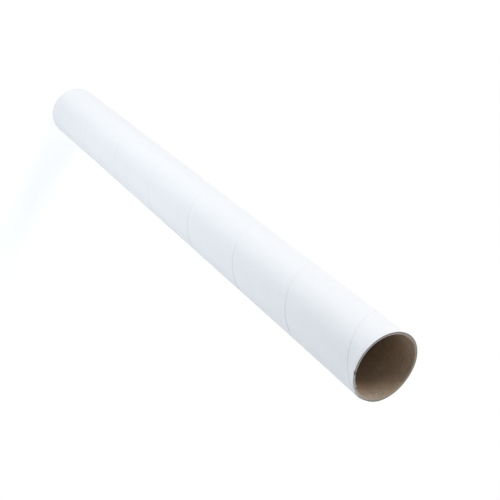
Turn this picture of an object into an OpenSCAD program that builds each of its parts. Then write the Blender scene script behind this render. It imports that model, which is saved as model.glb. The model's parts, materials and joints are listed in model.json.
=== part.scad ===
// Cardboard mailing tube, open at both ends and standing on one of them.
// A wall of brown board is wound in a spiral and covered by one spiral strip of white paper.
// The origin is the centre of the lower end, and +Z runs along the tube to the upper end.

/* [Board tube] */
// Length of the tube from cut end to cut end
tube_len = 850; // [200:1:1500]
// Diameter of the bore
bore_d = 76; // [50:0.5:150]
// Thickness of the brown board wall
board_t = 2.7; // [1:0.1:8]

/* [White wrap] */
// Thickness of the white paper strip
wrap_t = 0.3; // [0.15:0.05:0.8]
// Width of the white paper strip
strip_w = 106; // [40:1:150]
// Open gap between one edge of the strip and the next
seam_gap = 0.3; // [0.1:0.05:1.5]
// Direction in which the seam meets the upper end, in degrees round the tube from +X
seam_deg = 129; // [0:1:359]

/* [Hidden] */
$fn = 180;

// How far a cut runs past the faces that it opens
overrun = 1;
// Straight steps in one turn of the seam
steps_per_turn = 48;

// Outside of the board, on which the strip is glued
board_d = bore_d + 2 * board_t;
// Outside of the finished tube
tube_d = board_d + 2 * wrap_t;

// The strip and its gap, laid side by side round the tube, set the slope of the seam
girth = PI * tube_d;
seam_slope = asin((strip_w + seam_gap) / girth);
// Rise of the seam in one turn, and the height of its gap along the tube
seam_lead = girth * tan(seam_slope);
gap_h = seam_gap / cos(seam_slope);

// Direction of the seam at height z, right-handed and rising to the upper end
function seam_deg_at(z) = seam_deg + 360 * (z - tube_len) / seam_lead;
// A point at a radius, a direction and a height
function round_point(r, deg, z) = [r * cos(deg), r * sin(deg), z];
// The seam's section at height z: a radial rectangle of height h
function seam_ring(z, r_in, r_out, h) =
    let (deg = seam_deg_at(z))
    [
        round_point(r_in, deg, z - h / 2),
        round_point(r_out, deg, z - h / 2),
        round_point(r_out, deg, z + h / 2),
        round_point(r_in, deg, z + h / 2)
    ];

// One closed solid swept along a row of rings that have as many corners each
module ring_sweep(rings) {
    corners = len(rings[0]);
    last = len(rings) - 1;
    sides = [
        for (i = [0 : last - 1], k = [0 : corners - 1])
            let (a = i * corners + k, b = i * corners + (k + 1) % corners)
            each [[a, b, a + corners], [b, b + corners, a + corners]]
    ];
    foot = [[for (k = [corners - 1 : -1 : 0]) k]];
    head = [[for (k = [0 : corners - 1]) last * corners + k]];
    polyhedron(points = [for (ring = rings) each ring], faces = concat(foot, sides, head));
}

// The open gap along the whole seam, as a cutter that runs past both faces and both ends of the strip
module seam_cut() {
    past_end = overrun + gap_h;
    run = tube_len + 2 * past_end;
    steps = ceil(steps_per_turn * run / seam_lead);
    ring_sweep([
        for (i = [0 : steps])
            seam_ring(i * run / steps - past_end, board_d / 2 - overrun, tube_d / 2 + overrun, gap_h)
    ]);
}

// A round wall from end to end of the tube
module round_wall(inner_d, outer_d) {
    difference() {
        cylinder(d = outer_d, h = tube_len);
        translate([0, 0, -overrun]) cylinder(d = inner_d, h = tube_len + 2 * overrun);
    }
}

// Brown board body with the bore that end plugs push into
module tube_body() {
    color("#8c7459") round_wall(bore_d, board_d);
}

// White outer ply, one strip in a spiral
module paper_wrap() {
    color("#f3f6f9") difference() {
        round_wall(board_d, tube_d);
        seam_cut();
    }
}

tube_body();
paper_wrap();
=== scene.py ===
import json
import math

import bpy
import numpy as np
from mathutils import Matrix, Vector


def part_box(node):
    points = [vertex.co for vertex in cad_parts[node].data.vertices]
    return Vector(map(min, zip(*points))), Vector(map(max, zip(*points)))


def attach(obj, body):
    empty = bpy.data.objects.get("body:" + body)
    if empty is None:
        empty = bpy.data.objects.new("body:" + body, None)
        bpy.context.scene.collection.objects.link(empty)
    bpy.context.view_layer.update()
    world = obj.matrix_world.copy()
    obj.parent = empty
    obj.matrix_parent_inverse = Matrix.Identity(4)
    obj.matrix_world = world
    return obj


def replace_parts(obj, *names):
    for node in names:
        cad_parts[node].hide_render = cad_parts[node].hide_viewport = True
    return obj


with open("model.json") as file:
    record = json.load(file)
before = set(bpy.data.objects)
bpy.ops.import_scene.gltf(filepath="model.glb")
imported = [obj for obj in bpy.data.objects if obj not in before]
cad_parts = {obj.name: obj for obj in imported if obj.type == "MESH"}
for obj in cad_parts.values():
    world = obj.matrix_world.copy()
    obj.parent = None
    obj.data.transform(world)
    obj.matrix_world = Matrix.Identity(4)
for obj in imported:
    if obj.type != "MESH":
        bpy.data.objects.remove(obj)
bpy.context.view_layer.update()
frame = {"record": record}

# The tube stands on its lower end, and the camera is rolled so that it lies across the picture.
# Lengths are in metres and angles in radians. Directions round the tube are measured from +X towards +Y.
# Shares of the board's wall run from 0 at the bore to 1 at the outside.
MM = 0.001
DEG = math.radians(1)
FULL_TURN = 2 * math.pi

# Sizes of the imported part
TUBE_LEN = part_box("paper_wrap")[1].z
TUBE_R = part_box("paper_wrap")[1].x
BOARD_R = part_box("tube_body")[1].x
BORE_R = next(m["dims"]["r_mm"] for m in frame["record"]["mounts"] if m["name"] == "bore") * MM
BOARD_T = BOARD_R - BORE_R

# White strip and the seam between its turns, as in the part's source
STRIP_W = 106 * MM
SEAM_GAP = 0.3 * MM
SEAM_TOP = 129 * DEG
GIRTH = FULL_TURN * TUBE_R
SEAM_SLOPE = math.asin((STRIP_W + SEAM_GAP) / GIRTH)
SEAM_LEAD = GIRTH * math.tan(SEAM_SLOPE)

# Camera: its place, a point straight in front of it, and the lens and the sensor
CAMERA_AT = Vector((0.40804, 0.65337, 1.45449))
CAMERA_AIM = CAMERA_AT + Vector((-0.34483, -0.56024, -0.75314))
LENS_MM = 68.07
SENSOR_MM = 36

# Smooth random patterns: the waves added up in each, what brings them to about -1 to 1, and the seeds
RIPPLE_WAYS = 12
RIPPLE_GAIN = 2
LIFT_SEED = 3
WAVE_SEED = 5
PLY_SEED = 7
FUZZ_SEED = 8
BORE_SEED = 11
TEAR_SEED = 13
FIBRE_SEED = 21

# Edges with a wider bend than this are drawn sharp
SHARP_EDGE = 40 * DEG

# Strip mesh: columns in one turn, rows across its middle and its inner face, and the blunt tip at both ends
STRIP_COLUMNS = 160
STRIP_ROWS = 18
INNER_ROWS = 12
STRIP_TIP = 0.25 * MM
# Seam of the ply underneath, which shows through as a shallow groove below the strip's upper edge
GROOVE_AT = 7.6 * MM
GROOVE_HALF = 0.9 * MM
GROOVE_DEPTH = 0.06 * MM
# Rows close to both edges and in the groove, and the share of the strip's height that they may take
GROOVE_ROWS = 5
EDGE_ROWS = np.array([0, 0.05, 0.12, 0.3, 0.8, 2.0, 4.5]) * MM
UPPER_ROWS = np.concatenate([EDGE_ROWS, GROOVE_AT + GROOVE_HALF * np.linspace(-1, 1, GROOVE_ROWS)])
ROWS_SHARE = 0.8
# The paper's edges are rounded and stand up a little in places, and the paper is slightly wavy
EDGE_ROUND = 0.07 * MM
ROUND_FADE = 0.06 * MM
EDGE_LIFT = 0.05 * MM
LIFT_FADE = 1.2 * MM
LIFT_WAVE = 45 * MM
LIFT_RANGE = -0.2, 0.8
WAVE_HEIGHT = 0.03 * MM
WAVE_LEN = 34 * MM
# How far the seam's gap is open by direction: the strip's edges almost meet on the side of +X
GAP_TURNS = np.array([-60, -3, 22, 48, 72, 98, 120, 150, 200]) * DEG
GAP_SHARES = 1, 0.11, 0.06, 0.16, 0.62, 1.1, 2.4, 1.5, 1
# The same by the depth below the upper end: they come closer right at it, and towards the lower end
GAP_DEPTHS = 0, 12 * MM, 18 * MM, 100 * MM, TUBE_LEN
GAP_DEPTH_SHARES = 0.25, 0.4, 1.4, 0.9, 0.12

# Board mesh: columns round it, rows near the cut ends and between them, and the digits that tell them apart
BOARD_COLUMNS = 360
END_ROWS = np.array([0.5, 0.9, 1.6, 3, 5, 8, 12, 18, 26, 36]) * MM
LONG_ROWS = 24
ROW_DIGITS = 5
TURN_DIGITS = 6
# Plies in the wall, the rim's rows across one of them, and how unevenly they stand
PLIES = 6
PLY_ROWS = np.array([0, 0.08, 0.5, 0.92])
PLY_STEP = 0.06 * MM
PLY_WAVE = 30 * MM
PLY_SHIFT = 9 * MM
# Grooves between the plies, which begin this far from the middle of a ply, and the fuzz of the cut
PLY_GROOVE = 0.10 * MM
GROOVE_BEGIN = 0.4, 0.5
FUZZ_HEIGHT = 0.03 * MM
FUZZ_WAVE = 1.7 * MM
# Waves of the bore, and the rounded inner edge of the cut ends
BORE_WAVE_HEIGHT = 0.05 * MM
BORE_WAVE = 40 * MM
BORE_FLARE = 0.3 * MM
FLARE_DEPTH = 0.5 * MM
# How far the colour of the cut runs on to the walls
CUT_WEAR = 0.45 * MM

# Where the inner plies stand into the bore at the upper end: from where, up to where, how far and how deep.
# The first stretch ends in a tear, and the next two are the sides of a tooth that is left of the torn ply.
# The plies further out stand in less, by a power of their distance from the outside.
FLAP_END = 118.4 * DEG
TOOTH_TURN = 121.9 * DEG
FLAPS = (
    (99 * DEG, FLAP_END, 0.6 * MM, 14 * MM),
    (120.2 * DEG, TOOTH_TURN, 1.5 * MM, 3 * MM),
    (123.4 * DEG, TOOTH_TURN, 1.5 * MM, 3 * MM),
    (352 * DEG, 328 * DEG, 0.5 * MM, 9 * MM),
)
FLAP_TAPER = 3
# The torn inner edge: its stretch, the closer columns that show it, how ragged it is, and its softer ends
TORN_SPAN = 116 * DEG, 130 * DEG
TORN_COLUMNS = 56
TEAR_DEPTH = 0.15 * MM
TEAR_WAVE = 1.1 * MM
TEAR_ENDS = 0, 0.2
# The one chip in it, the shares of the wall between which it ends, and where the painted shade in it fades
# out
CHIP_TURN = 125.2 * DEG
CHIP_HALF = 1.5 * DEG
CHIP_DEPTH = 1.4 * MM
CHIP_SHARES = 0.16, 0.3
CHIP_SHADE_HALF = CHIP_HALF, 1.2 * CHIP_HALF
CHIP_SHADE_DEPTH = 1.5 * CHIP_DEPTH, 3 * CHIP_DEPTH
# Where the upper end is out of round: direction, half width, how far it stands out, and how deep it fades
BULGES = (
    (137 * DEG, 10 * DEG, 1.0 * MM, 60 * MM),
    (162 * DEG, 9 * DEG, -0.4 * MM, 15 * MM),
    (190 * DEG, 14 * DEG, 0.35 * MM, 15 * MM),
    (322 * DEG, 26 * DEG, 0.35 * MM, 15 * MM),
    (246 * DEG, 24 * DEG, -0.75 * MM, 15 * MM),
)
# A crushed spot of the upper end beside the loose ply, how much of it the board takes, and its darkest part
NICK_TURN = 94 * DEG
NICK_HALF = 2.75 * DEG
NICK_DEPTH = 0.9 * MM
NICK_BOARD_SHARE = 0.4
NICK_DARK_TURN = 96.2 * DEG
NICK_DARK_HALF = 1.7 * DEG, 3.4 * DEG
# A stretch of the upper end whose outer edge is rubbed down, and the shares of the wall where that begins
RUB_TURN = 134 * DEG
RUB_HALF = 14 * DEG
RUB_DEPTH = 0.9 * MM
RUB_SHARES = 0.55, 1
# How deep in the board the crushed, rubbed and torn places fade
CRUSH_FADE = 2 * MM

# Loose fibres round the inner edge of both ends
END_FIBRES = 80
FIBRE_LENGTHS = 0.4 * MM, 1.4 * MM
FIBRE_THICK = 0.045 * MM
FIBRE_TAPER = 0.85
FIBRE_RINGS = 5
FIBRE_SIDES = 5
FIBRE_ROOT = 0.2 * MM
# How much they point inwards, sideways and up, and how much they bend sideways and up
FIBRE_IN = 0.4, 1
FIBRE_ASIDE = -0.8, 0.8
UPPER_RISE = -0.3, 0.5
LOWER_RISE = 0.1, 0.6
BEND_ASIDE = -0.5, 0.5
BEND_UP = 0, 0.3
# Pale tufts of short thick fibres on the tooth and beside the chip, with roots at several depths
TUFT_TURNS = TOOTH_TURN, 128.6 * DEG
TUFT_SPREAD = 0.45 * DEG
TUFT_FIBRES = 26
TUFT_LENGTHS = 0.3 * MM, 0.75 * MM
TUFT_THICK = 0.1 * MM
TUFT_RISE = -0.2, 0.5
TUFT_ROOTS = 0.3 * FIBRE_ROOT, 2 * FIBRE_ROOT

# Names of the maps that the materials read
LAY_MAP = "strip_lay"
WALL_MAP = "wall_lay"
# Soft and crisp steps from the low to the high parts of a pattern of spots
SOFT_STEP = 0.3, 0.7
CRISP_STEP = 0.35, 0.65

# Patterns are given as spots in a metre, detail and stretch, and layers as strength and colour.
# White paper: its colours from place to place, and its roughness and fine relief
PAPER_CLOUDS = 120, 3
PAPER_FIBRES = 1400, 3, (0.25, 1, 1)
PAPER_RUBS = 40, 5, (0.4, 1, 1)
RUB_STEP = 0.6, 0.78
PAPER_BRIGHT = 0.902, 0.912, 0.932, 1
PAPER_DULL = 0.872, 0.887, 0.912, 1
PAPER_FIBRE_LAYER = 0.45, (0.82, 0.83, 0.84, 1)
PAPER_RUB_LAYER = 0.12, (0.72, 0.73, 0.74, 1)
PAPER_ROUGH_STEP = 0.2, 0.8
PAPER_ROUGH = 0.52, 0.68
PAPER_SPECULAR = 0.3
PAPER_BUMP = 0.4, 0.1 * MM
CLOUD_BUMP = 2
# Dirt along the seam and the cut ends, painted shade on the walls of the seam's gap, the grey of the paper's
# cut edge with painted shade, and how far they reach
SEAM_DIRT_REACH = 0, 0.6 * MM
SEAM_DIRT_LAYER = 0.1, (0.60, 0.60, 0.60, 1)
SEAM_SHADE_REACH = 0.006 * MM, 0.02 * MM
SEAM_WALL_SHADE = 0.15, 0.15, 0.155, 1
END_DIRT_REACH = 0, 2.5 * MM
END_DIRT_STEP = 0.4, 0.7
END_DIRT_LAYER = 0.3, (0.66, 0.62, 0.56, 1)
CUT_PAPER_REACH = 0.02 * MM, 0.12 * MM
CUT_EDGE_GREY_AND_SHADE = 0.47, 0.45, 0.41, 1

# Brown board: its patterns, roughness and fine relief
BOARD_MOTTLE = 110, 4
BOARD_FIBRES = 620, 4, (1, 1, 0.8)
BOARD_FLECKS = 700, 1, (1, 1, 0.5)
FLECK_STEP = 0.66, 0.74
BOARD_ROUGH = 0.78, 0.92
BOARD_SPECULAR = 0.2
BOARD_BUMP = 0.3, 0.15 * MM
# The bore has painted light beside the cut ends, making it lighter and greyer, though less in one direction,
# and it is worn at the edge
BORE_LIGHT_REACH = 1 * MM, 26 * MM
BORE_DIM_TURN = 260 * DEG
BORE_DIM_STEP = 0.4, 1
BORE_DIM_SHARE = 0.2
WORN_REACH = 0.2 * MM, 3 * MM
BORE_BROWN = 0.473, 0.335, 0.216, 1
BORE_LIT_TINT = 0.496, 0.416, 0.329, 1
MOTTLE_LAYER = 0.45, (0.34, 0.245, 0.165, 1)
FIBRE_LAYER = 0.5, (0.30, 0.22, 0.15, 1)
FLECK_LAYER = 0.35, (0.20, 0.14, 0.09, 1)
WORN_LAYER = 0.3, (0.56, 0.50, 0.43, 1)
# The seam of the inner ply, the board's outer face, which the strip's seam shows, and the painted shade of
# the chip
PLY_SEAM_HALF = 0.15 * MM, 0.5 * MM
PLY_SEAM_LAYER = 0.6, (0.17, 0.12, 0.08, 1)
OUTER_SHARES = 0.8, 0.9
OUTER_TINT = 0.20, 0.20, 0.205, 1
CHIP_SHADE_TINT = 0.08, 0.065, 0.05, 1
# The cut plies have a pale inner and a dark outer band, both greyer in one direction, and lines of glue
BAND_SHARES = 0.45, 0.6
RIM_GREY_TURN = 70 * DEG
RIM_GREY_STEP = -0.6, 0.5
WARM_INNER_BAND = 0.455, 0.392, 0.305, 1
GREY_INNER_BAND = 0.57, 0.52, 0.49, 1
WARM_OUTER_BAND = 0.232, 0.195, 0.148, 1
GREY_OUTER_BAND = 0.17, 0.155, 0.155, 1
GLUE_HALF = 0.02, 0.12
GLUE_LAYER = 0.4, (0.14, 0.12, 0.11, 1)
RIM_FIBRE_LAYER = 0.3, (0.55, 0.52, 0.48, 1)
# Stretches of the upper rim, each with where it begins softly and where it fades out, and the crushed spot
EVEN_STRETCH = (-80 * DEG, -55 * DEG), (-28 * DEG, -10 * DEG)
EVEN_LAYER = 0.8, (0.43, 0.365, 0.29, 1)
PALE_STRETCH = (98 * DEG, 101 * DEG), (148 * DEG, 170 * DEG)
PALE_TINT = 0.54, 0.50, 0.455, 1
FOLDED_STRETCH = (114 * DEG, 126 * DEG), (138 * DEG, 147 * DEG)
FOLDED_SHARES = 0.58, 0.72
FOLDED_TINT = 0.89, 0.865, 0.82, 1
NICK_TINT = 0.16, 0.145, 0.14, 1

# Loose fibres: their patterns, colours, roughness and fine relief
LOOSE_CLOUDS = 260, 2
LOOSE_GRAIN = 2600, 2
LOOSE_PALE = 0.84, 0.81, 0.77, 1
LOOSE_BROWN = 0.66, 0.60, 0.52, 1
LOOSE_GRAIN_LAYER = 0.2, (0.48, 0.40, 0.31, 1)
LOOSE_ROUGH = 0.8, 0.95
LOOSE_BUMP = 0.2, 0.02 * MM

# Lamps: name, direction, distance from the axis, height, height that it is turned to, side, watts and colour
LAMPS = (
    ("key", -18 * DEG, 4.4, 2.0, 0.2, 2.05, 110.5, (1.0, 0.96, 0.92)),
    ("fill", 84 * DEG, 1.1, 0.26, 0.35, 0.42, 4.2, (0.922, 0.963, 0.983)),
    ("mouth_fill", 165 * DEG, 2.0, 2.0, 0.75, 0.7, 5.4, (0.95, 0.97, 0.97)),
    ("back_fill", 248 * DEG, 1.6, 0.5, 0.45, 0.7, 6.0, (0.92, 0.965, 0.99)),
)
WHITE = 1, 1, 1, 1
WORLD_TINT = 0.46, 0.49, 0.525, 1
# Round floor: its size, how far it lies below the tube, its looks, and the distances where it turns white
FLOOR_R = 9
FLOOR_SIDES = 96
FLOOR_DROP = 0.2 * MM
FLOOR_TINT = 0.835, 0.83, 0.825, 1
FLOOR_GLOW = 0.41
FLOOR_WHITE_REACH = 0.25, 1.1


# Points, patterns and pieces

def ripple(points, wave, seed):
    """A smooth random height of about -1 to 1 at each point, with swells about one wave apart."""
    draw = np.random.default_rng(seed)
    ways = draw.normal(size=(RIPPLE_WAYS, 3))
    ways /= np.linalg.norm(ways, axis=1)[:, None]
    starts = draw.uniform(0, FULL_TURN, RIPPLE_WAYS)
    return np.sin(points @ ways.T * (FULL_TURN / wave) + starts).mean(-1) * RIPPLE_GAIN


def smooth(low, high, x):
    """0 below low, 1 above high, and a soft step between them."""
    t = np.clip((x - low) / (high - low), 0, 1)
    return t * t * (3 - 2 * t)


def plateau(away):
    """1 in the middle, falling softly to 0 about where away is 1."""
    return np.exp(-(away ** 4))


def around(r, turn, z):
    """Points at a radius, a direction and a height."""
    return np.stack(np.broadcast_arrays(r * np.cos(turn), r * np.sin(turn), z), -1)


def apart(turn, other):
    """Angle between two directions, from 0 to half a turn."""
    return np.abs((turn - other + math.pi) % FULL_TURN - math.pi)


def end_depth(height):
    """Distance to the nearer end of the tube."""
    return np.minimum(height, TUBE_LEN - height)


def skin(rings, closed, first=0):
    """Faces over a row of equal rings, whose points are numbered from first and run clockwise along it."""
    count, size = rings.shape[:2]
    ids = first + np.arange(count * size).reshape(count, size)
    here = ids if closed else ids[:-1]
    there = np.roll(ids, -1, 0) if closed else ids[1:]
    sides = np.stack([here, there, np.roll(there, -1, 1), np.roll(here, -1, 1)], -1)
    faces = sides.reshape(-1, 4).tolist()
    if not closed:
        faces += [ids[0].tolist(), ids[-1][::-1].tolist()]
    return faces


def add_object(name, data):
    """A new object in the scene."""
    made = bpy.data.objects.new(name, data)
    bpy.context.scene.collection.objects.link(made)
    return made


def add_piece(name, points, faces):
    """A new object of these points and faces, smooth but for its sharp edges."""
    mesh = bpy.data.meshes.new(name)
    mesh.from_pydata(points.reshape(-1, 3).tolist(), [], faces)
    mesh.shade_smooth()
    mesh.set_sharp_from_angle(angle=SHARP_EDGE)
    return add_object(name, mesh)


def lay_map(mesh, name, first, second):
    """A map that holds two values for each point of a mesh."""
    corners = np.zeros(len(mesh.loops), int)
    mesh.loops.foreach_get("vertex_index", corners)
    places = np.stack([first.ravel(), second.ravel()], 1)[corners]
    made = mesh.uv_layers.new(name=name)
    made.uv.foreach_set("vector", places.astype(np.float32).ravel())


# Wear of the upper end

def nick(turn):
    """How far the upper end is crushed down at a direction."""
    return NICK_DEPTH * plateau(apart(turn, NICK_TURN) / NICK_HALF)


def rub(turn):
    """How far the outer edge of the upper end is rubbed down at a direction."""
    return RUB_DEPTH * plateau(apart(turn, RUB_TURN) / RUB_HALF)


def bulge(turn, depth):
    """How far the outside stands out of round at a depth below its upper end."""
    out = 0
    for centre, half, height, fade_depth in BULGES:
        out = out + height * np.exp(-((apart(turn, centre) / half) ** 2) - depth / fade_depth)
    return out


def flap_lift(turn, depth):
    """How far the inner face stands into the bore at a depth below its upper end."""
    lift = 0
    for start, end, reach, fade_depth in FLAPS:
        part = (turn - start) / (end - start)
        lift = lift + reach * np.where((part > 0) & (part < 1), part, 0) ** 2 * np.exp(-depth / fade_depth)
    return lift


def tear(turn, share):
    """How far the torn inner edge lies below the cut: it is ragged, with one deep chip."""
    along = (turn - TORN_SPAN[0]) / (TORN_SPAN[1] - TORN_SPAN[0])
    ragged = 1 + ripple(around(BORE_R + BOARD_T * share, turn, 0 * share), TEAR_WAVE, TEAR_SEED)
    down = TEAR_DEPTH * ragged * smooth(*TEAR_ENDS, along) * smooth(*TEAR_ENDS, 1 - along)
    chip = CHIP_DEPTH * plateau(apart(turn, CHIP_TURN) / CHIP_HALF)
    return (down + chip) * (1 - smooth(*CHIP_SHARES, share))


def crush(turn, share):
    """How far the board's upper end is worn down at a direction and a share of the wall."""
    return NICK_BOARD_SHARE * nick(turn) + rub(turn) * smooth(*RUB_SHARES, share) + tear(turn, share)


# White strip

def half_gap(turn, height):
    """Half the seam's gap along the tube where the seam passes a direction and a height."""
    is_open = np.interp(turn, GAP_TURNS, GAP_SHARES, period=FULL_TURN)
    is_open = is_open * np.interp(TUBE_LEN - height, GAP_DEPTHS, GAP_DEPTH_SHARES)
    return 0.5 * SEAM_GAP * is_open / math.cos(SEAM_SLOPE)


def strip_turns():
    """Angles of the strip's columns, which wind up from its lower to its upper tip."""
    first = SEAM_TOP - FULL_TURN * (TUBE_LEN + SEAM_LEAD - STRIP_TIP) / SEAM_LEAD
    last = SEAM_TOP - FULL_TURN * (RUB_DEPTH + STRIP_TIP) / SEAM_LEAD
    return np.linspace(first, last, round(STRIP_COLUMNS * (last - first) / FULL_TURN))


def strip_heights(turn):
    """Heights of both seam edges and of the rows at each angle. The rows crowd towards edges and groove."""
    seam = TUBE_LEN + SEAM_LEAD * (turn - SEAM_TOP) / FULL_TURN
    next_seam = seam + SEAM_LEAD
    edges = np.stack([seam + half_gap(turn, seam), next_seam - half_gap(turn, next_seam)], 1)
    low = np.maximum(edges[:, 0], 0)
    high = np.minimum(edges[:, 1], TUBE_LEN - nick(turn) - rub(turn))
    room = np.minimum(1, (high - low) / (EDGE_ROWS[-1] + UPPER_ROWS[-1]) * ROWS_SHARE)[:, None]
    from_low = low[:, None] + room * EDGE_ROWS
    from_high = high[:, None] - room * UPPER_ROWS[::-1]
    share = np.linspace(0, 1, STRIP_ROWS)[1:-1]
    middle = from_low[:, -1:] * (1 - share) + from_high[:, :1] * share
    return edges, np.concatenate([from_low, middle, from_high], 1)


def paper_relief(turn, z, below_seam):
    """How far the paper stands off a true round: lifted and rounded edges, waves and the pressed groove."""
    plain = around(TUBE_R, turn, z)
    edge = np.minimum(z - z[:, :1], z[:, -1:] - z)
    loose = smooth(*LIFT_RANGE, ripple(plain, LIFT_WAVE, LIFT_SEED))
    lifted = EDGE_LIFT * loose * np.exp(-edge / LIFT_FADE)
    rounded = EDGE_ROUND * np.exp(-edge / ROUND_FADE)
    groove = GROOVE_DEPTH * np.exp(-(((below_seam - GROOVE_AT) / (0.5 * GROOVE_HALF)) ** 2))
    waves = WAVE_HEIGHT * (ripple(plain, WAVE_LEN, WAVE_SEED) - 1)
    return lifted - rounded - groove + waves


def make_wrap():
    """The white strip in one spiral from end to end, with a map of the places along and across it."""
    columns = strip_turns()
    edges, z = strip_heights(columns)
    turn = columns[:, None]
    swell = bulge(turn, TUBE_LEN - z)
    outer = around(TUBE_R + paper_relief(turn, z, edges[:, 1:] - z) + swell, turn, z)
    inner_rows = np.linspace(z.shape[1] - 1, 0, INNER_ROWS).round().astype(int)
    inner = around(BOARD_R + swell[:, inner_rows], turn, z[:, inner_rows])
    rings = np.concatenate([outer, inner], 1)
    piece = add_piece("wrap_strip", rings, skin(rings, closed=False))
    across = STRIP_W * (z - edges[:, :1]) / (edges[:, 1:] - edges[:, :1])
    along = TUBE_R * turn / math.cos(SEAM_SLOPE) + across * math.tan(SEAM_SLOPE)
    lay_map(piece.data, LAY_MAP, *(np.concatenate([a, a[:, inner_rows]], 1) for a in (along, across)))
    return piece


# Brown board

def board_section():
    """Share of the wall, height, and 1 for the rims, at each point round the board's section."""
    long_rows = np.linspace(0, TUBE_LEN, LONG_ROWS + 2)[1:-1]
    up = np.concatenate([END_ROWS, long_rows, TUBE_LEN - END_ROWS])
    up = np.unique(up.round(ROW_DIGITS))
    rim = np.append((np.arange(PLIES)[:, None] + PLY_ROWS).ravel() / PLIES, 1)
    share = np.concatenate([np.ones(len(up)), rim[::-1], np.zeros(len(up)), rim])
    height = np.concatenate([up, np.full(len(rim), TUBE_LEN), up[::-1], np.zeros(len(rim))])
    is_rim = np.concatenate([up * 0, rim * 0 + 1, up * 0, rim * 0 + 1])
    return share, height, is_rim


def board_turns():
    """Directions of the board's columns, which stand closer where the upper end is torn."""
    plain = np.linspace(0, FULL_TURN, BOARD_COLUMNS, endpoint=False)
    torn = np.linspace(*TORN_SPAN, TORN_COLUMNS + 1)
    return np.unique(np.concatenate([plain, torn]).round(TURN_DIGITS))[:, None]


def rim_sink(turn, share):
    """How far a rim point lies below the cut: plies of uneven height, fuzz, and a groove between plies.

    The folded paper covers the grooves where the outer edge is rubbed down."""
    ply = np.minimum((share * PLIES).astype(int), PLIES - 1)
    in_ply = np.abs(share * PLIES - ply - 0.5)
    ply_place = around(BORE_R + PLY_SHIFT * ply, turn, 0 * share)
    rim_place = around(BORE_R + BOARD_T * share, turn, 0 * share)
    steps = PLY_STEP * (1 + ripple(ply_place, PLY_WAVE, PLY_SEED)) / 2
    fuzz = FUZZ_HEIGHT * (1 + ripple(rim_place, FUZZ_WAVE, FUZZ_SEED)) / 2
    bare = 1 - rub(turn) / RUB_DEPTH * smooth(*FOLDED_SHARES, share)
    return steps + fuzz + PLY_GROOVE * smooth(*GROOVE_BEGIN, in_ply) * bare


def board_radius(turn, share, height):
    """Radius of the board's points: the inner plies stand in, and the outer ones go with the bulges."""
    lift = flap_lift(turn, TUBE_LEN - height) * (1 - share) ** FLAP_TAPER
    swell = bulge(turn, TUBE_LEN - height) * share
    waves = BORE_WAVE_HEIGHT * ripple(around(BORE_R, turn, height), BORE_WAVE, BORE_SEED) * (1 - share)
    flare = BORE_FLARE * np.exp(-end_depth(height) / FLARE_DEPTH) * (1 - share)
    return BORE_R + BOARD_T * share - lift + waves + flare + swell


def make_board():
    """The brown board wall, with a map of the shares of the wall and of where the cut shows."""
    share, height, is_rim = board_section()
    share, height, is_rim, turn = np.broadcast_arrays(share, height, is_rim, board_turns())
    sink = is_rim * rim_sink(turn, share)
    crushed = crush(turn, share) * np.exp(-(TUBE_LEN - height) / CRUSH_FADE)
    z = np.where(height > TUBE_LEN / 2, height - sink - crushed, height + sink)
    rings = around(board_radius(turn, share, height), turn, z)
    piece = add_piece("board_tube", rings, skin(rings, closed=True))
    worn = np.clip(2 - 2 * end_depth(height) / CUT_WEAR, 0, 1)
    lay_map(piece.data, WALL_MAP, share, np.maximum(is_rim, worn))
    return piece


# Loose fibres

def fibre(draw, turn, height, rise, lengths, thick):
    """Rings of one bent fibre, which tapers from its root in the inner edge to its tip over the bore."""
    inward = np.array([-math.cos(turn), -math.sin(turn), 0])
    sideways = np.array([-math.sin(turn), math.cos(turn), 0])
    upright = np.array([0, 0, 1])
    way = inward * draw.uniform(*FIBRE_IN) + sideways * draw.uniform(*FIBRE_ASIDE)
    way = way + upright * draw.uniform(*rise)
    way /= np.linalg.norm(way)
    bend = sideways * draw.uniform(*BEND_ASIDE) + upright * draw.uniform(*BEND_UP)
    across = np.cross(way, upright)
    across /= np.linalg.norm(across)
    over = np.cross(way, across)
    share = np.linspace(0, 1, FIBRE_RINGS)[:, None, None]
    corner = np.linspace(0, -FULL_TURN, FIBRE_SIDES, endpoint=False)[:, None]
    root = around(BORE_R + FIBRE_ROOT - flap_lift(turn, 0), turn, height)
    spine = root + draw.uniform(*lengths) * (share * way + share ** 2 * bend)
    return spine + thick * (1 - FIBRE_TAPER * share) * (np.cos(corner) * across + np.sin(corner) * over)


def make_fibres():
    """Fibres that the cut left loose all round both ends, and pale tufts where the inner ply is torn."""
    draw = np.random.default_rng(FIBRE_SEED)
    root_share = FIBRE_ROOT / BOARD_T
    made = []
    for turn in draw.uniform(0, FULL_TURN, END_FIBRES):
        height = TUBE_LEN - FIBRE_ROOT - crush(turn, root_share)
        made.append(fibre(draw, turn, height, UPPER_RISE, FIBRE_LENGTHS, FIBRE_THICK))
    for turn in draw.uniform(0, FULL_TURN, END_FIBRES):
        made.append(fibre(draw, turn, FIBRE_ROOT, LOWER_RISE, FIBRE_LENGTHS, FIBRE_THICK))
    tuft_turns = np.repeat(TUFT_TURNS, TUFT_FIBRES)
    for turn in tuft_turns + draw.normal(0, TUFT_SPREAD, len(tuft_turns)):
        height = TUBE_LEN - draw.uniform(*TUFT_ROOTS) - crush(turn, root_share)
        made.append(fibre(draw, turn, height, TUFT_RISE, TUFT_LENGTHS, TUFT_THICK))
    size = FIBRE_RINGS * FIBRE_SIDES
    faces = [face for i, rings in enumerate(made) for face in skin(rings, closed=False, first=i * size)]
    return add_piece("loose_fibres", np.array(made), faces)


# Shader nodes

def node(tree, kind, inputs=(), **settings):
    """A new node with these settings. An input is a value or another node's output."""
    made = tree.nodes.new("ShaderNode" + kind)
    for name, value in settings.items():
        setattr(made, name, value)
    for name, value in dict(inputs).items():
        if isinstance(value, bpy.types.NodeSocket):
            tree.links.new(value, made.inputs[name])
        else:
            made.inputs[name].default_value = value
    return made


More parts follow.
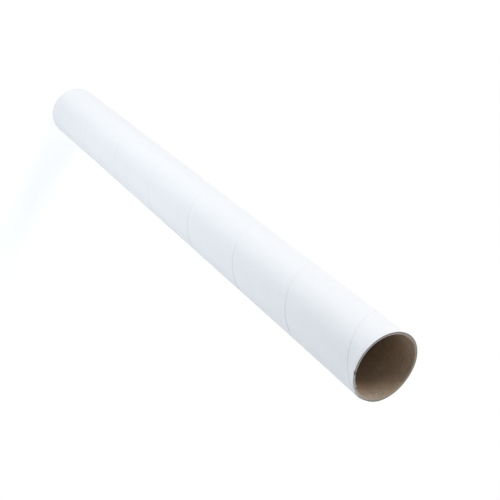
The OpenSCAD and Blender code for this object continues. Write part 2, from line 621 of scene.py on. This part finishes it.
def calc(tree, operation, *values):
    """The result of one step of arithmetic."""
    return node(tree, "Math", enumerate(values), operation=operation).outputs[0]


def times(tree, first, second):
    """The product of two values."""
    return calc(tree, "MULTIPLY", first, second)


def remap(tree, value, low, high, to_low=0.0, to_high=1.0):
    """A soft step from to_low to to_high while the value goes from low to high."""
    inputs = {0: value, 1: low, 2: high, 3: to_low, 4: to_high}
    return node(tree, "MapRange", inputs, interpolation_type="SMOOTHSTEP").outputs[0]


def fade(tree, value, low, high):
    """1 below low, 0 above high, and a soft step between them."""
    return remap(tree, value, low, high, 1, 0)


def window(tree, value, rise, fall):
    """1 between two soft steps, each given by where it starts and ends."""
    return times(tree, remap(tree, value, *rise), fade(tree, value, *fall))


def border(tree, value, whole):
    """Distance to the nearer end of a range from 0 to whole."""
    return calc(tree, "MINIMUM", value, calc(tree, "SUBTRACT", whole, value))


def aside(tree, value, centre):
    """Distance to one value."""
    return calc(tree, "ABSOLUTE", calc(tree, "SUBTRACT", value, centre))


def off_whole(tree, value):
    """Distance to the nearest whole number."""
    return calc(tree, "PINGPONG", value, 0.5)


def facing(tree, turn, way):
    """1 in one direction, falling to -1 in the opposite one."""
    return calc(tree, "COSINE", calc(tree, "SUBTRACT", turn, way))


def mix(tree, share, first, second):
    """One colour turning into another."""
    inputs = {0: share, 6: first, 7: second}
    return node(tree, "Mix", inputs, data_type="RGBA").outputs[2]


def layer(tree, tint, where, strength, over):
    """A colour with another one laid over it in places."""
    return mix(tree, times(tree, where, strength), tint, over)


def spots(tree, place, per_metre, detail, stretch=(1, 1, 1)):
    """A soft random pattern, drawn out along the axes whose stretch is small."""
    spread = node(tree, "VectorMath", {0: place, 1: stretch}, operation="MULTIPLY").outputs[0]
    return node(tree, "TexNoise", {"Vector": spread, "Scale": per_metre, "Detail": detail}).outputs[0]


def new_material(name):
    """A material, its nodes and its one shader."""
    material = bpy.data.materials.new(name)
    material.use_nodes = True
    return material, material.node_tree, material.node_tree.nodes["Principled BSDF"]


def dress(tree, shader, tint, rough, specular, bump, relief):
    """Gives a shader its colour, roughness, specular level and fine relief."""
    strength, distance = bump
    raised = node(tree, "Bump", {"Strength": strength, "Distance": distance, "Height": relief})
    tree.links.new(tint, shader.inputs["Base Color"])
    tree.links.new(rough, shader.inputs["Roughness"])
    tree.links.new(raised.outputs[0], shader.inputs["Normal"])
    shader.inputs["Specular IOR Level"].default_value = specular


# Materials of the part

def paper_material():
    """White paper: cloudy stock, fibres along the strip, light rubs, dirt along seam and cut ends, painted
    shade on the seam's walls, and a grey cut edge with painted shade.
    """
    material, tree, shader = new_material("white_paper")
    lay = node(tree, "UVMap", uv_map=LAY_MAP).outputs[0]
    place = node(tree, "TexCoord").outputs["Object"]
    to_seam = border(tree, node(tree, "SeparateXYZ", {0: lay}).outputs[1], STRIP_W)
    to_end = border(tree, node(tree, "SeparateXYZ", {0: place}).outputs[2], TUBE_LEN)
    clouds = spots(tree, lay, *PAPER_CLOUDS)
    fibres = spots(tree, lay, *PAPER_FIBRES)
    rubs = remap(tree, spots(tree, lay, *PAPER_RUBS), *RUB_STEP)
    seam_dirt = times(tree, fade(tree, to_seam, *SEAM_DIRT_REACH), clouds)
    end_dirt = times(tree, fade(tree, to_end, *END_DIRT_REACH), remap(tree, clouds, *END_DIRT_STEP))
    tint = mix(tree, clouds, PAPER_BRIGHT, PAPER_DULL)
    tint = layer(tree, tint, remap(tree, fibres, *SOFT_STEP), *PAPER_FIBRE_LAYER)
    tint = layer(tree, tint, rubs, *PAPER_RUB_LAYER)
    tint = layer(tree, tint, seam_dirt, *SEAM_DIRT_LAYER)
    tint = layer(tree, tint, end_dirt, *END_DIRT_LAYER)
    # The paper's cut edge is grey, partly its own colour and partly painted shade
    tint = mix(tree, fade(tree, to_end, *CUT_PAPER_REACH), tint, CUT_EDGE_GREY_AND_SHADE)
    # Painted shade: the walls of the seam's gap are coloured dark grey
    tint = mix(tree, fade(tree, to_seam, *SEAM_SHADE_REACH), tint, SEAM_WALL_SHADE)
    rough = remap(tree, fibres, *PAPER_ROUGH_STEP, *PAPER_ROUGH)
    relief = calc(tree, "ADD", fibres, times(tree, clouds, CLOUD_BUMP))
    dress(tree, shader, tint, rough, PAPER_SPECULAR, PAPER_BUMP, relief)
    return material


def ply_seam(tree, turn, height):
    """1 along the seam of the inner ply, which winds down from the torn end of the ply."""
    turns = calc(tree, "DIVIDE", calc(tree, "SUBTRACT", turn, FLAP_END), FULL_TURN)
    rise = calc(tree, "DIVIDE", calc(tree, "SUBTRACT", height, TUBE_LEN), SEAM_LEAD)
    away = off_whole(tree, calc(tree, "SUBTRACT", rise, turns))
    return fade(tree, times(tree, away, SEAM_LEAD), *PLY_SEAM_HALF)


def chip_shade(tree, turn, share, height):
    """1 in the chip of the torn inner edge, where it is painted dark as shade."""
    beside = fade(tree, aside(tree, turn, CHIP_TURN), *CHIP_SHADE_HALF)
    inside = times(tree, beside, fade(tree, share, *CHIP_SHARES))
    return times(tree, inside, fade(tree, calc(tree, "SUBTRACT", TUBE_LEN, height), *CHIP_SHADE_DEPTH))


def bore_tint(tree, place, turn, height, mottle, fibres):
    """Colour of the bore: mottled kraft with fibres and flecks, with painted light beside the cut ends, and
    worn there.
    """
    to_end = border(tree, height, TUBE_LEN)
    # How much of the painted light beside the cut ends is left in each direction
    lit_share = remap(tree, facing(tree, turn, BORE_DIM_TURN), *BORE_DIM_STEP, 1, BORE_DIM_SHARE)
    flecks = remap(tree, spots(tree, place, *BOARD_FLECKS), *FLECK_STEP)
    worn = times(tree, fade(tree, to_end, *WORN_REACH), fibres)
    # Painted light: the bore is lighter and greyer beside the cut ends
    tint = mix(tree, times(tree, fade(tree, to_end, *BORE_LIGHT_REACH), lit_share), BORE_BROWN, BORE_LIT_TINT)
    tint = layer(tree, tint, remap(tree, mottle, *SOFT_STEP), *MOTTLE_LAYER)
    tint = layer(tree, tint, remap(tree, fibres, *CRISP_STEP), *FIBRE_LAYER)
    tint = layer(tree, tint, flecks, *FLECK_LAYER)
    return layer(tree, tint, worn, *WORN_LAYER)


def rim_tint(tree, turn, share, height, fibres):
    """Colour of the cut plies: pale inside and dark outside.

    At the upper end they are even on one side, pale all through beside the loose ply, with the white paper
    folded over the outer edge, and dark in the crushed spot."""
    upper = calc(tree, "GREATER_THAN", height, TUBE_LEN / 2)
    even, pale, folded = (
        times(tree, upper, window(tree, turn, *stretch))
        for stretch in (EVEN_STRETCH, PALE_STRETCH, FOLDED_STRETCH)
    )
    crushed = times(tree, upper, fade(tree, aside(tree, turn, NICK_DARK_TURN), *NICK_DARK_HALF))
    glue = fade(tree, off_whole(tree, times(tree, share, PLIES)), *GLUE_HALF)
    grey = remap(tree, facing(tree, turn, RIM_GREY_TURN), *RIM_GREY_STEP)
    inner = mix(tree, grey, WARM_INNER_BAND, GREY_INNER_BAND)
    outer = mix(tree, grey, WARM_OUTER_BAND, GREY_OUTER_BAND)
    tint = mix(tree, remap(tree, share, *BAND_SHARES), inner, outer)
    tint = layer(tree, tint, even, *EVEN_LAYER)
    tint = mix(tree, pale, tint, PALE_TINT)
    tint = mix(tree, crushed, tint, NICK_TINT)
    tint = layer(tree, tint, glue, *GLUE_LAYER)
    tint = layer(tree, tint, fibres, *RIM_FIBRE_LAYER)
    return mix(tree, times(tree, folded, remap(tree, share, *FOLDED_SHARES)), tint, FOLDED_TINT)


def kraft_material():
    """Brown board: kraft with the inner ply's seam in the bore, grey plies at the ends, and painted shade in
    a chip.
    """
    material, tree, shader = new_material("kraft_board")
    place = node(tree, "TexCoord").outputs["Object"]
    x, y, height = node(tree, "SeparateXYZ", {0: place}).outputs[:3]
    turn = calc(tree, "ARCTAN2", y, x)
    wall = node(tree, "UVMap", uv_map=WALL_MAP).outputs[0]
    share, on_rim = node(tree, "SeparateXYZ", {0: wall}).outputs[:2]
    mottle = spots(tree, place, *BOARD_MOTTLE)
    fibres = spots(tree, place, *BOARD_FIBRES)
    inner_seam = ply_seam(tree, turn, height)
    walls = bore_tint(tree, place, turn, height, mottle, fibres)
    walls = layer(tree, walls, inner_seam, *PLY_SEAM_LAYER)
    walls = mix(tree, remap(tree, share, *OUTER_SHARES), walls, OUTER_TINT)
    rim = rim_tint(tree, turn, share, height, fibres)
    tint = mix(tree, remap(tree, on_rim, *SOFT_STEP), walls, rim)
    # Painted shade: the chip of the torn inner edge is coloured nearly black
    tint = mix(tree, chip_shade(tree, turn, share, height), tint, CHIP_SHADE_TINT)
    rough = remap(tree, mottle, *SOFT_STEP, *BOARD_ROUGH)
    relief = calc(tree, "SUBTRACT", calc(tree, "ADD", fibres, mottle), inner_seam)
    dress(tree, shader, tint, rough, BOARD_SPECULAR, BOARD_BUMP, relief)
    return material


def fibre_material():
    """Loose board fibres: pale, browner in places, and grainy."""
    material, tree, shader = new_material("board_fibres")
    place = node(tree, "TexCoord").outputs["Object"]
    clouds = spots(tree, place, *LOOSE_CLOUDS)
    grain = spots(tree, place, *LOOSE_GRAIN)
    tint = mix(tree, remap(tree, clouds, *CRISP_STEP), LOOSE_PALE, LOOSE_BROWN)
    tint = layer(tree, tint, grain, *LOOSE_GRAIN_LAYER)
    rough = remap(tree, grain, *SOFT_STEP, *LOOSE_ROUGH)
    dress(tree, shader, tint, rough, BOARD_SPECULAR, LOOSE_BUMP, grain)
    return material


# Stage

def add_camera():
    """Stands where the photograph was taken from. The picture's upright lies in the plane of X and Z."""
    data = bpy.data.cameras.new("camera")
    data.sensor_width = SENSOR_MM
    data.lens = LENS_MM
    forward = (CAMERA_AIM - CAMERA_AT).normalized()
    up = forward.cross(Vector((0, 1, 0))).normalized()
    right = forward.cross(up)
    camera = add_object("camera", data)
    camera.matrix_world = Matrix.Translation(CAMERA_AT) @ Matrix((right, up, -forward)).transposed().to_4x4()
    bpy.context.scene.camera = camera


def add_lamp(name, turn, distance, height, aim_height, size, watts, tint):
    """A square soft lamp beside the tube, turned to a point on its axis."""
    data = bpy.data.lights.new(name, "AREA")
    data.size = size
    data.energy = watts
    data.color = tint
    place = Vector((distance * math.cos(turn), distance * math.sin(turn), height))
    turned = (place - Vector((0, 0, aim_height))).to_track_quat("Z", "Y")
    lamp = add_object(name, data)
    lamp.matrix_world = Matrix.Translation(place) @ turned.to_matrix().to_4x4()
    lamp.visible_camera = False


def seen_directly(tree):
    """1 where it is seen, also in a reflection or through glass, and 0 for the light that it gives."""
    path = node(tree, "LightPath").outputs
    either = calc(tree, "MAXIMUM", path["Is Camera Ray"], path["Is Glossy Ray"])
    return calc(tree, "MAXIMUM", either, path["Is Transmission Ray"])


def add_world():
    """Soft cool light from all round, which looks white where it is seen."""
    world = bpy.data.worlds.new("studio")
    world.use_nodes = True
    tree = world.node_tree
    tree.nodes.clear()
    light = node(tree, "Background", {"Color": WORLD_TINT}).outputs[0]
    white = node(tree, "Background", {"Color": WHITE}).outputs[0]
    shown = node(tree, "MixShader", {0: seen_directly(tree), 1: light, 2: white}).outputs[0]
    node(tree, "OutputWorld", {0: shown})
    bpy.context.scene.world = world


def floor_material():
    """Pale floor that looks white where it is seen, and still takes the tube's shadow near the tube."""
    material = bpy.data.materials.new("floor")
    material.use_nodes = True
    tree = material.node_tree
    tree.nodes.clear()
    plain = node(tree, "BsdfDiffuse", {"Color": FLOOR_TINT}).outputs[0]
    glow = node(tree, "Emission", {"Color": WHITE, "Strength": FLOOR_GLOW}).outputs[0]
    near = node(tree, "AddShader", {0: plain, 1: glow}).outputs[0]
    far = node(tree, "Emission", {"Color": WHITE}).outputs[0]
    place = node(tree, "TexCoord").outputs["Object"]
    distance = node(tree, "VectorMath", {0: place}, operation="LENGTH").outputs["Value"]
    is_far = remap(tree, distance, *FLOOR_WHITE_REACH)
    white = node(tree, "MixShader", {0: is_far, 1: near, 2: far}).outputs[0]
    shown = node(tree, "MixShader", {0: seen_directly(tree), 1: plain, 2: white}).outputs[0]
    node(tree, "OutputMaterial", {0: shown})
    return material


def add_floor():
    """A wide round floor just under the tube."""
    turn = np.linspace(0, FULL_TURN, FLOOR_SIDES, endpoint=False)
    mesh = bpy.data.meshes.new("floor")
    mesh.from_pydata(around(FLOOR_R, turn, -FLOOR_DROP).tolist(), [], [list(range(FLOOR_SIDES))])
    mesh.materials.append(floor_material())
    floor = add_object("floor", mesh)


def place_piece(piece, material):
    """The piece rides on the part's one body, with this material."""
    piece.data.materials.append(material)
    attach(piece, "root")
    return piece


add_camera()
bpy.context.scene.view_settings.view_transform = "Standard"
add_world()
for lamp in LAMPS:
    add_lamp(*lamp)
add_floor()
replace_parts(place_piece(make_board(), kraft_material()), "tube_body")
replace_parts(place_piece(make_wrap(), paper_material()), "paper_wrap")
place_piece(make_fibres(), fibre_material())
